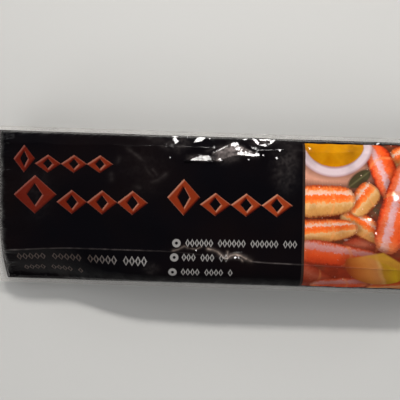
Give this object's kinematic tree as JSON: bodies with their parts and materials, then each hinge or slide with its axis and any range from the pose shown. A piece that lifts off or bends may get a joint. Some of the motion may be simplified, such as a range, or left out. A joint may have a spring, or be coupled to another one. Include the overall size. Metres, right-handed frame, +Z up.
{
  "type": "frozen seafood pack",
  "caption": "Filled film pack of frozen seafood lying on its back, glossy black printed front up with a crease across it and a food panel at the right, and a clear sealed margin all round.",
  "frame": {"origin": "on the surface that the pack lies on, below the middle of its box", "axes": "+X along the pack, left to right of its print; +Y towards the top of its print; +Z up, out of its printed front"},
  "size_m": [0.376, 0.1264, 0.0461],
  "materials": {
    "printed_film": "glossy, printed black with rust-red, grey and orange fields",
    "clear_film": "glossy and clear"
  },
  "bodies": {
    "root": {"pouch": "printed_film"}
  },
  "joints": []
}
